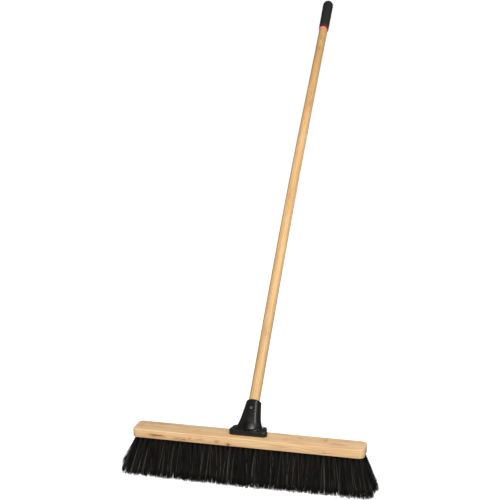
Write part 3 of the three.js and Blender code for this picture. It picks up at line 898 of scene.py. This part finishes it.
bracket = new_object("handle_bracket_body", *loft(bracket_rings()))

# raised seat under the handle screw: radius, distance from the handle's axis
BOSS = [
    (0, 0.0165), (0.0071, 0.0165), (0.0066, 0.0190), (0.0063, 0.0200), (0.0059, 0.0204),
    (0, 0.0204),
]
boss = new_object("boss", *turned(BOSS, 48))
boss.data.transform(SCREW_PLACE)
cut(bracket, [boss], "UNION")

# bore for the handle, with a wider mouth: radius, distance along the axis
BORE = [
    (0, 0.0187), (0.0147, 0.0187), (0.0147, 0.0940), (0.0155, 0.0951), (0.0155, 0.106),
    (0, 0.106),
]
bore = new_object("bore", *turned(BORE, 72))
bore.data.transform(TILT)
SCREW_HOLE, SCREW_SEAT = 0.0024, 0.0050
tools = [bore, cylinder(SCREW_HOLE, 0.008, 0.030, 24, matrix=SCREW_PLACE)]
for side in (-1, 1):
    at = (side * PLATE_SCREW_X, PLATE_SCREW_Y)
    tools.append(cylinder(SCREW_HOLE, TOP - 0.004, TOP + 0.03, 24, at))
    tools.append(cylinder(SCREW_SEAT, PLATE_TOP + 0.00005, PLATE_TOP + 0.02, 40, at))
cut(bracket, tools)
soften(bracket, 34)
finish_piece(bracket, bracket_mat, "head", "bracket_plastic", "handle_bracket")


# ------------------------------------------------------------------ screws
def pan_head(name, head_radius, head_height, length, shank_radius=2.0):
    """Pan head screw with a cross recess, sized in mm; under the head is z = 0."""
    core = shank_radius * 0.8
    thread_start = -length + min(2.0, length * 0.3)
    profile = [(0, -length), (shank_radius * 0.3, -length), (core, thread_start)]
    for z in np.arange(thread_start, -1.1, 1.0):
        profile += [(core, z + 0.05), (shank_radius, z + 0.35), (core, z + 0.7)]
    profile += [
        (shank_radius * 0.86, -0.1), (shank_radius * 1.05, 0.0), (head_radius * 0.97, 0.0),
        (head_radius, 0.12), (head_radius, head_height * 0.38),
    ]
    for degrees in (12, 26, 40, 55, 70, 82):
        c, s = math.cos(math.radians(degrees)), math.sin(math.radians(degrees))
        profile.append((head_radius * (0.30 + 0.70 * c), head_height * (0.38 + 0.62 * s)))
    profile.append((0, head_height))
    screw = new_object(name, *turned([(r * MM, z * MM) for r, z in profile], 48))

    half_width, arm = head_radius * 0.11 * MM, head_radius * 0.56 * MM
    for degrees in (0, 90):
        turn = Matrix.Rotation(math.radians(degrees), 3, "Z")
        rings = []
        for z, scale in ((head_height * 0.22 * MM, 0.35), (head_height * 1.2 * MM, 1.1)):
            outline = ((-arm, -half_width), (arm, -half_width), (arm, half_width), (-arm, half_width))
            rings.append([tuple(turn @ Vector((x * scale, y, z))) for x, y in outline])
        cut(screw, [new_object("slot", *loft(rings))])
    soften(screw, 30)
    return screw


for side, sign in (("left", -1), ("right", 1)):
    screw = pan_head(f"bracket_screw_{side}_head", head_radius=4.2, head_height=2.7, length=26.0)
    place = Matrix.Translation((sign * PLATE_SCREW_X, PLATE_SCREW_Y, PLATE_TOP + 0.0001))
    screw.matrix_world = place @ Matrix.Rotation(0.5 * sign, 4, "Z")
    finish_piece(screw, dark_screw_mat, "head", "screw_steel", f"bracket_screw_{side}")
screw = pan_head("handle_screw_head", head_radius=4.9, head_height=3.2, length=6.1)
seat = Matrix.Translation((0, 0, 0.0206))
screw.matrix_world = SCREW_PLACE @ seat @ Matrix.Rotation(0.35, 4, "Z")
finish_piece(screw, screw_mat, "screw", "screw_steel", "handle_screw")


# ------------------------------------------------------------------ handle
def handle_radius(s):
    """14.4 mm, easing down to 13.5 mm between 0.9 m and 1.25 m along the axis."""
    t = min(max((s - 0.900) / 0.350, 0), 1)
    return (14.4 - 0.9 * t * t * (3 - 2 * t)) * MM


BOW_START, BOW_DEPTH = 0.096, 0.0043
profile = [
    (0, HANDLE_START), (0.0129, HANDLE_START), (0.0137, HANDLE_START + 0.0003),
    (0.01425, HANDLE_START + 0.0009), (handle_radius(0), HANDLE_START + 0.0018),
]
stations = np.linspace(HANDLE_START + 0.004, HANDLE_END - 0.003, 150)
profile += [(handle_radius(s), s) for s in stations]
profile += [
    (0.0134, HANDLE_END - 0.0014), (0.0130, HANDLE_END - 0.0006), (0.0122, HANDLE_END),
    (0, HANDLE_END),
]
handle = new_object("handle_shaft", *turned(profile))
# the wood has a slight bow towards -X between the socket and the ring
for vertex in handle.data.vertices:
    t = min(max((vertex.co.z - BOW_START) / (RING_FOOT - BOW_START), 0), 1)
    vertex.co.x -= BOW_DEPTH * math.sin(math.pi * t)
cut(handle, [cylinder(0.0016, 0.0025, 0.020, 20, matrix=SCREW_ON_AXIS)])
soften(handle, 30)
handle.matrix_world = TILT
finish_piece(handle, handle_mat, "handle", "handle_wood", "handle")


# ------------------------------------------------------------------ ring and grip
def node_span(node):
    """Where a node on the handle starts and ends along its axis."""
    points = [vertex.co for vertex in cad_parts[node].data.vertices]
    along = [((p[1] - AXIS_Y) + (p[2] - TOP)) * math.sqrt(0.5) for p in points]
    return min(along), max(along)


def sleeve(name, profile, segments, *finish):
    """A hollow piece turned about the handle's axis."""
    obj = new_object(name, *turned(profile, segments, closed=True))
    soften(obj, 40)
    obj.matrix_world = TILT
    finish_piece(obj, *finish)


start, end = node_span("grip_ring")
profile = rounded([
    (SLEEVE_BORE, start), (0.0150, start), (0.0157, start + 0.0026), (0.0158, end - 0.0008),
    (0.0155, end), (SLEEVE_BORE, end),
], radius=0.0005, steps=3)
sleeve("grip_ring_band", profile, 64, ring_mat, "handle", "ring_red", "grip_ring")

# the grip's outside, in mm from its foot: a rolled foot, a slow swell and a domed end
start, end = node_span("handle_grip")
GRIP_RADIUS, GRIP_SWELL, DOME_HEIGHT = 16.0, 0.65, 17.2
outside = [(15.6, 0.0), (16.0, 0.7), (16.05, 2.4), (15.75, 3.4), (15.85, 4.6)]
for t in np.linspace(0, 1, 18):
    outside.append((GRIP_RADIUS + GRIP_SWELL * t ** 1.2, 6.0 + 84.0 * t))
dome_foot = (end - start) / MM - DOME_HEIGHT
for degrees in range(5, 90, 6):
    c, s = math.cos(math.radians(degrees)), math.sin(math.radians(degrees))
    outside.append(((GRIP_RADIUS + GRIP_SWELL) * c ** 0.9, dome_foot + DOME_HEIGHT * s))
profile = [(SLEEVE_BORE, start)] + [(r * MM, start + z * MM) for r, z in outside]
profile += [
    (0, end), (0, HANDLE_END + 0.0003), (0.0125, HANDLE_END + 0.0003),
    (SLEEVE_BORE, HANDLE_END - 0.0004),
]
sleeve("handle_grip_sleeve", profile, 72, grip_mat, "handle", "grip_rubber", "handle_grip")

# ------------------------------------------------------------------ floor and world
FLOOR_HALF = 60
floor = new_object("floor", [
    (x * FLOOR_HALF, y * FLOOR_HALF, 0) for x, y in ((-1, -1), (1, -1), (1, 1), (-1, 1))
], [(0, 1, 2, 3)])
m = new_shader("floor")
greys = [(0.0, (0.33, 0.33, 0.33)), (1.0, (0.37, 0.37, 0.368))]
m.set("Base Color", m.ramp(m.noise((1.5, 1.5, 1.5), detail=2, roughness=0.5), greys, "EASE"))
m.set("Roughness", 1.0)
m.set("Specular IOR Level", 0.0)
# an overlit sweep: the glow is only for the camera, so it adds no light to the broom
m.set("Emission Color", (1, 1, 1, 1))
m.set("Emission Strength", m.math("MULTIPLY", m.camera_ray(), 0.95))
floor.data.materials.append(m.owner)

# the world lights with a soft grey gradient, but the camera sees it white
world = bpy.data.worlds.new("studio")
bpy.context.scene.world = world
sky = Shader(world, "Background", "Generated")
height = sky.math("MULTIPLY_ADD", sky.xyz()["Z"], 0.5, 0.5)
gradient = sky.ramp(height, [(0.45, (0.130, 0.132, 0.136)), (1.0, (0.245, 0.258, 0.285))])
sky.set("Color", sky.mix(sky.camera_ray(), gradient, (1, 1, 1, 1)))
sky.set("Strength", 1.0)


# ------------------------------------------------------------------ lights and camera
def placed(name, data, place, x_axis, y_axis, z_axis):
    obj = bpy.data.objects.new(name, data)
    matrix = Matrix((x_axis, y_axis, z_axis)).transposed().to_4x4()
    matrix.translation = Vector(place)
    obj.matrix_world = matrix
    bpy.context.scene.collection.objects.link(obj)
    return obj


def area(name, place, target, size, watts, colour, long_way=(0, 0, 1)):
    """A soft box; size is (across, along), where along follows long_way as nearly as it can."""
    light = bpy.data.lights.new(name, "AREA")
    light.shape = "RECTANGLE"
    light.size, light.size_y = size
    light.energy = watts
    light.color = colour
    z = (Vector(place) - Vector(target)).normalized()
    y = Vector(long_way)
    y = (y - z * y.dot(z)).normalized()
    placed(name, light, place, y.cross(z), y, z)


area("key", place=(0.85, -3.75, 3.15), target=(0, 0.3, 0.35), size=(3.0, 3.0), watts=262,
     colour=(1, 0.985, 0.955))
area("strip", place=(1.48, -0.15, 2.31), target=(0, 0.05, 0.2), size=(0.14, 1.3), watts=14,
     colour=(1, 0.985, 0.98), long_way=(0, 1, 0))
area("back", place=(0.55, 2.8, 0.42), target=(0, 0.2, 0.25), size=(1.3, 0.6), watts=9,
     colour=(0.96, 0.98, 1))

lens = bpy.data.cameras.new("camera")
lens.lens = 78.27
lens.sensor_width = 36
lens.clip_end = 300
scene = bpy.context.scene
scene.camera = placed(
    "camera", lens, place=(0.63526, -2.55487, 1.17687),
    x_axis=(0.97065, 0.24048, 0.00227),
    y_axis=(-0.05321, 0.20556, 0.9772),
    z_axis=(0.23453, -0.94864, 0.21232),
)
scene.view_settings.view_transform = "Standard"
scene.view_settings.look = "None"
